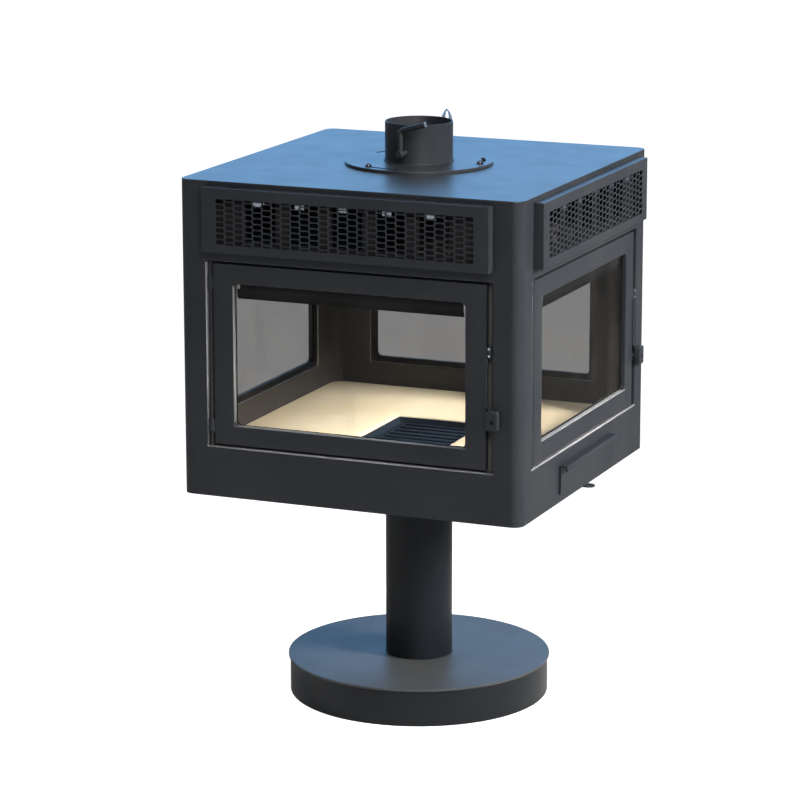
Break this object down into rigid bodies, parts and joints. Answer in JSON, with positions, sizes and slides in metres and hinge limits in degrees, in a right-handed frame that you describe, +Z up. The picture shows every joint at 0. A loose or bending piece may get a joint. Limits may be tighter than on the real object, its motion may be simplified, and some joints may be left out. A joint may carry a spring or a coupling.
{
  "type": "wood burning stove",
  "caption": "Black square wood burning stove glazed on all sides, on a round column and disc base, with a flue collar and damper on top.",
  "frame": {"origin": "centre of the underside of the base", "axes": "+Z up; -Y is the front, with the damper lever and the left-hinged front door; +X is the side with the ash drawer"},
  "size_m": [0.838, 0.838, 1.3145],
  "materials": {
    "satin_black_paint": "satin black heat-resistant paint",
    "dark_firebox_steel": "dull, heat-darkened",
    "smoked_glass": "clear ceramic glass, faintly tinted",
    "rope_seal": "grey braided glass-fibre rope",
    "cast_iron": "dark cast",
    "cream_refractory": "matt cast refractory",
    "bright_nickel": "bright nickel plate"
  },
  "bodies": {
    "casing": {"base_skirt": "satin_black_paint", "base_plate": "satin_black_paint", "base_top": "satin_black_paint", "column": "satin_black_paint", "column_flange": "satin_black_paint", "top_plate": "satin_black_paint", "bottom_plate": "satin_black_paint", "flue_flange": "satin_black_paint", "flue_collar": "satin_black_paint", "flange_bolt_1": "satin_black_paint", "flange_bolt_2": "satin_black_paint", "flange_bolt_3": "satin_black_paint", "panel_front": "satin_black_paint", "grille_cover_front": "satin_black_paint", "panel_right": "satin_black_paint", "grille_cover_right": "satin_black_paint", "panel_back": "satin_black_paint", "grille_cover_back": "satin_black_paint", "panel_left": "satin_black_paint", "grille_cover_left": "satin_black_paint", "corner_post_front_right": "satin_black_paint", "corner_post_back_right": "satin_black_paint", "corner_post_back_left": "satin_black_paint", "corner_post_front_left": "satin_black_paint", "firebox_shell": "dark_firebox_steel", "firebox_floor": "dark_firebox_steel", "firebox_roof": "dark_firebox_steel", "baffle": "dark_firebox_steel", "hinge_pin_front": "dark_firebox_steel", "hinge_pin_right": "dark_firebox_steel", "hinge_pin_back": "dark_firebox_steel", "hinge_pin_left": "dark_firebox_steel", "hearth_slab": "cream_refractory"},
    "door_front": {"door_frame_front": "satin_black_paint", "door_glass_front": "smoked_glass", "glass_retainer_front": "dark_firebox_steel", "door_seal_front": "rope_seal"},
    "latch_body_front": {"latch_front": "satin_black_paint"},
    "door_right": {"door_frame_right": "satin_black_paint", "door_glass_right": "smoked_glass", "glass_retainer_right": "dark_firebox_steel", "door_seal_right": "rope_seal"},
    "latch_body_right": {"latch_right": "satin_black_paint"},
    "door_back": {"door_frame_back": "satin_black_paint", "door_glass_back": "smoked_glass", "glass_retainer_back": "dark_firebox_steel", "door_seal_back": "rope_seal"},
    "latch_body_back": {"latch_back": "satin_black_paint"},
    "door_left": {"door_frame_left": "satin_black_paint", "door_glass_left": "smoked_glass", "glass_retainer_left": "dark_firebox_steel", "door_seal_left": "rope_seal"},
    "latch_body_left": {"latch_left": "satin_black_paint"},
    "damper": {"damper_plate": "dark_firebox_steel", "damper_handle": "satin_black_paint", "damper_grip": "bright_nickel"},
    "ash_drawer_body": {"ash_drawer": "dark_firebox_steel", "ash_drawer_front": "satin_black_paint"},
    "air_slide_body": {"air_slide": "satin_black_paint"},
    "grate_body": {"grate": "cast_iron"}
  },
  "joints": [
    {"name": "door_hinge_front", "type": "hinge", "parent": "casing", "child": "door_front", "pos_m": [-0.3225, -0.3905, 0.828], "axis": [0, 0, -1], "range_deg": [0, 110]},
    {"name": "latch_turn_front", "type": "hinge", "parent": "door_front", "child": "latch_body_front", "pos_m": [0.32275, -0.39, 0.74], "axis": [0, -1, 0], "range_deg": [0, 90]},
    {"name": "door_hinge_right", "type": "hinge", "parent": "casing", "child": "door_right", "pos_m": [0.3905, -0.3225, 0.828], "axis": [0, 0, -1], "range_deg": [0, 110]},
    {"name": "latch_turn_right", "type": "hinge", "parent": "door_right", "child": "latch_body_right", "pos_m": [0.39, 0.32275, 0.74], "axis": [1, 0, 0], "range_deg": [0, 90]},
    {"name": "door_hinge_back", "type": "hinge", "parent": "casing", "child": "door_back", "pos_m": [0.3225, 0.3905, 0.828], "axis": [0, 0, -1], "range_deg": [0, 110]},
    {"name": "latch_turn_back", "type": "hinge", "parent": "door_back", "child": "latch_body_back", "pos_m": [-0.32275, 0.39, 0.74], "axis": [0, 1, 0], "range_deg": [0, 90]},
    {"name": "door_hinge_left", "type": "hinge", "parent": "casing", "child": "door_left", "pos_m": [-0.3905, 0.3225, 0.828], "axis": [0, 0, -1], "range_deg": [0, 110]},
    {"name": "latch_turn_left", "type": "hinge", "parent": "door_left", "child": "latch_body_left", "pos_m": [-0.39, -0.32275, 0.74], "axis": [-1, 0, 0], "range_deg": [0, 90]},
    {"name": "damper_turn", "type": "hinge", "parent": "casing", "child": "damper", "pos_m": [0, 0, 1.24], "axis": [0, -1, 0], "range_deg": [0, 90]},
    {"name": "ash_drawer_slide", "type": "slide", "parent": "casing", "child": "ash_drawer_body", "axis": [1, 0, 0], "range_m": [0, 0.45]},
    {"name": "air_control", "type": "slide", "parent": "casing", "child": "air_slide_body", "axis": [1, 0, 0], "range_m": [0, 0.04]},
    {"name": "grate_lift", "type": "slide", "parent": "casing", "child": "grate_body", "axis": [0, 0, 1], "range_m": [0, 0.15]}
  ]
}
